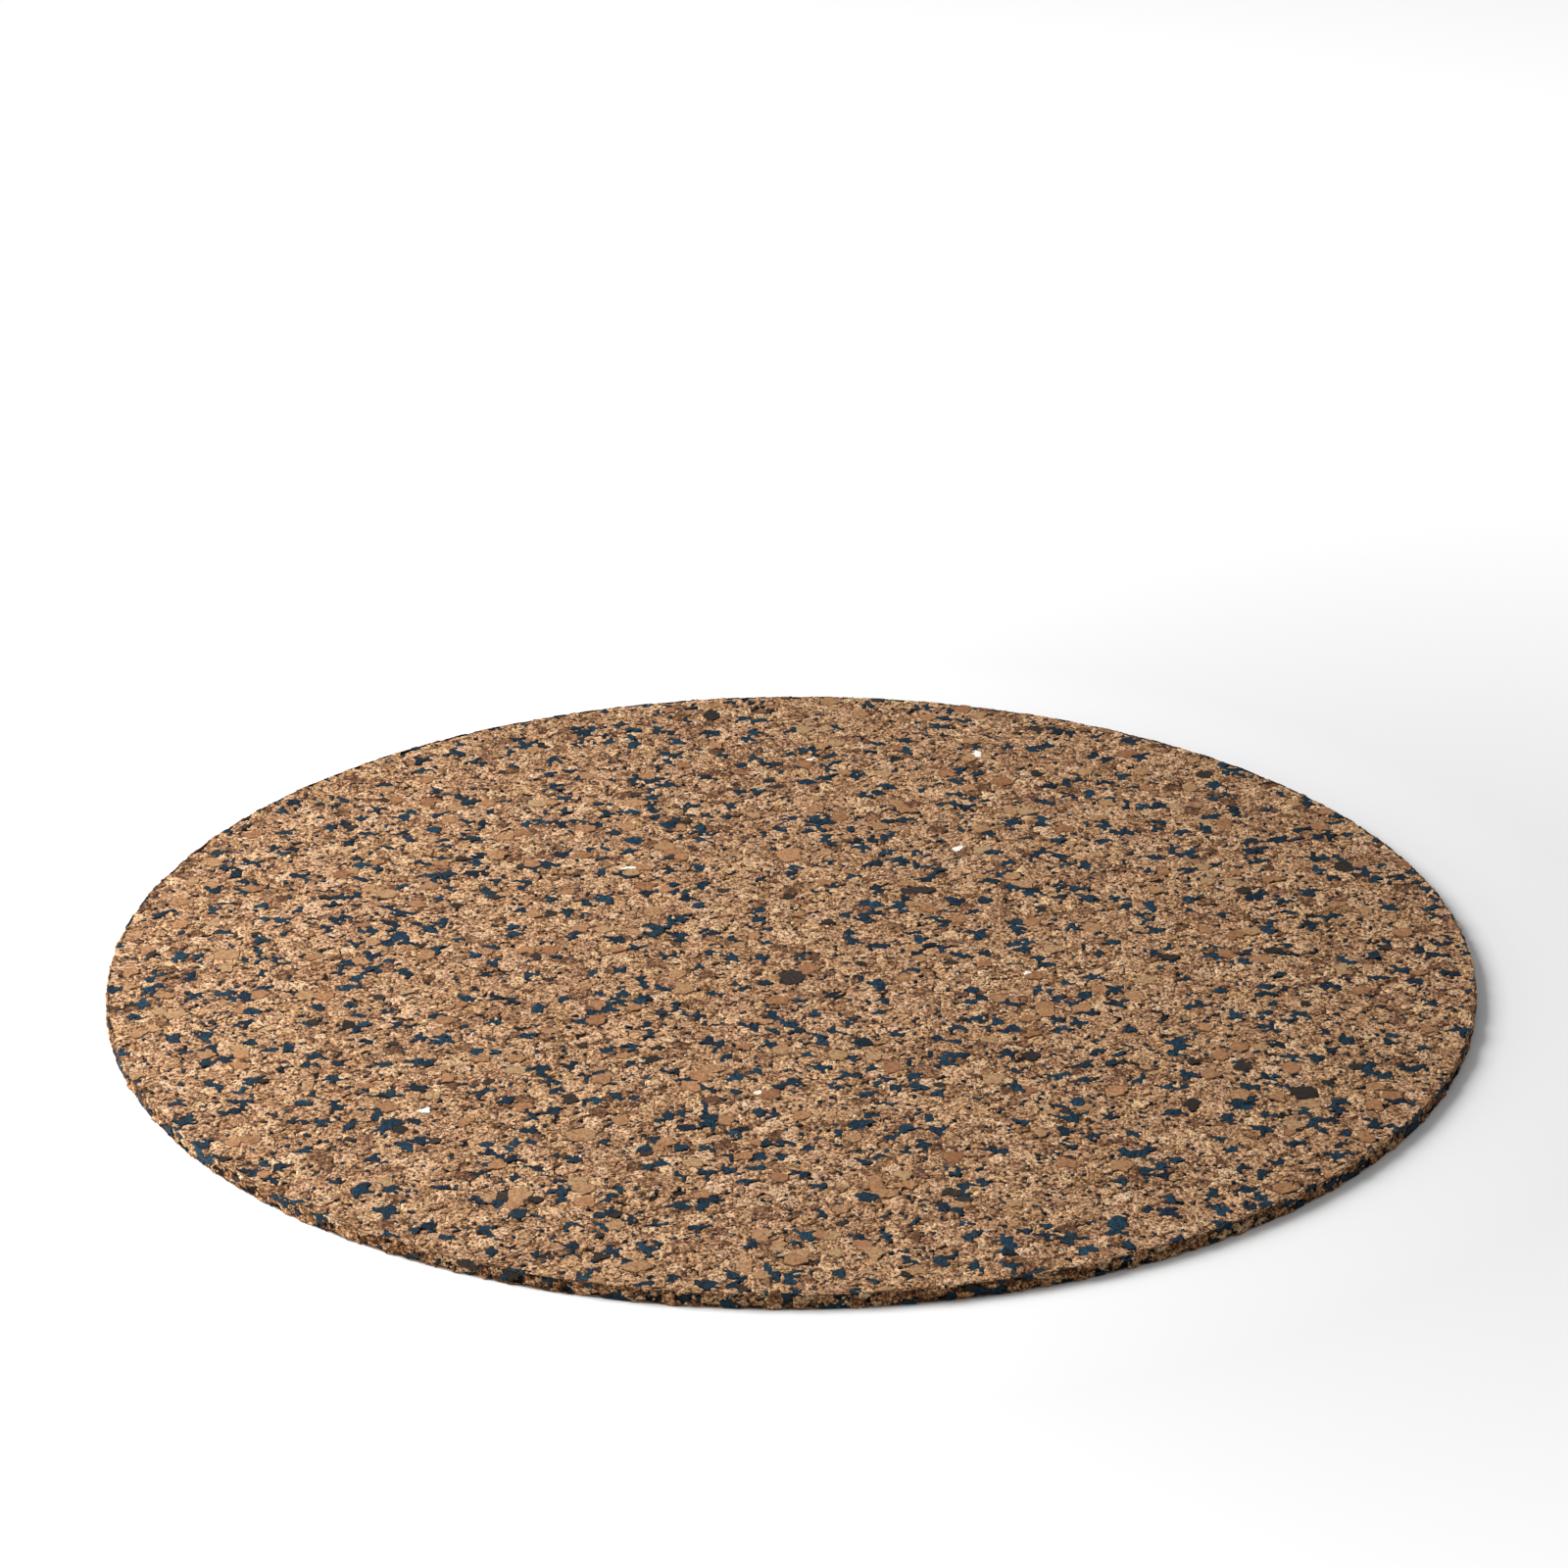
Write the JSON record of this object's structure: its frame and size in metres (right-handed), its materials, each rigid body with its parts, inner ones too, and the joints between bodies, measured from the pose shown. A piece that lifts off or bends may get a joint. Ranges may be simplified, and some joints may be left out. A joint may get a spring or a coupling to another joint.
{
  "type": "cork bulletin board",
  "caption": "Round frameless pin-up board: one thin sheet of bonded cork and navy rubber crumb with larger granules seated flush in its face.",
  "frame": {"origin": "centre of the back face, which is the lowest point of the board as it lies flat", "axes": "+Z out of the pin-up face, +X to the right and +Y away from a viewer who looks down at the board lying flat"},
  "size_m": [0.29, 0.29, 0.0035],
  "materials": {
    "agglomerated_cork": "skived cork and rubber crumb bonded with a clear binder, matt, with crumbly seams between the granules",
    "cork_bark": "dark brown outer bark, cut flat, matt",
    "navy_rubber": "navy rubber crumb, torn edges, dull sheen",
    "smooth_cork": "dense tan cork cut clean by the knife, smooth and matt",
    "pale_shell": "off-white fleck, hard and slightly smoother than the cork"
  },
  "bodies": {
    "root": {"bark_chip_01": "cork_bark", "bark_chip_02": "cork_bark", "bark_chip_03": "cork_bark", "bark_chip_04": "cork_bark", "bark_chip_05": "cork_bark", "bark_chip_06": "cork_bark", "bark_chip_07": "cork_bark", "bark_chip_08": "cork_bark", "bark_chip_09": "cork_bark", "bark_chip_10": "cork_bark", "bark_chip_11": "cork_bark", "bark_chip_12": "cork_bark", "bark_chip_13": "cork_bark", "cork_sheet": "agglomerated_cork", "navy_rubber_granule_01": "navy_rubber", "navy_rubber_granule_02": "navy_rubber", "navy_rubber_granule_03": "navy_rubber", "navy_rubber_granule_04": "navy_rubber", "navy_rubber_granule_05": "navy_rubber", "navy_rubber_granule_06": "navy_rubber", "navy_rubber_granule_07": "navy_rubber", "navy_rubber_granule_08": "navy_rubber", "navy_rubber_granule_09": "navy_rubber", "navy_rubber_granule_10": "navy_rubber", "navy_rubber_granule_11": "navy_rubber", "navy_rubber_granule_12": "navy_rubber", "navy_rubber_granule_13": "navy_rubber", "navy_rubber_granule_14": "navy_rubber", "navy_rubber_granule_15": "navy_rubber", "navy_rubber_granule_16": "navy_rubber", "navy_rubber_granule_17": "navy_rubber", "navy_rubber_granule_18": "navy_rubber", "navy_rubber_granule_19": "navy_rubber", "navy_rubber_granule_20": "navy_rubber", "shell_fleck_01": "pale_shell", "shell_fleck_02": "pale_shell", "shell_fleck_03": "pale_shell", "shell_fleck_04": "pale_shell", "shell_fleck_05": "pale_shell", "smooth_cork_chip_01": "smooth_cork", "smooth_cork_chip_02": "smooth_cork", "smooth_cork_chip_03": "smooth_cork", "smooth_cork_chip_04": "smooth_cork", "smooth_cork_chip_05": "smooth_cork", "smooth_cork_chip_06": "smooth_cork", "smooth_cork_chip_07": "smooth_cork", "smooth_cork_chip_08": "smooth_cork", "smooth_cork_chip_09": "smooth_cork", "smooth_cork_chip_10": "smooth_cork"}
  },
  "joints": []
}
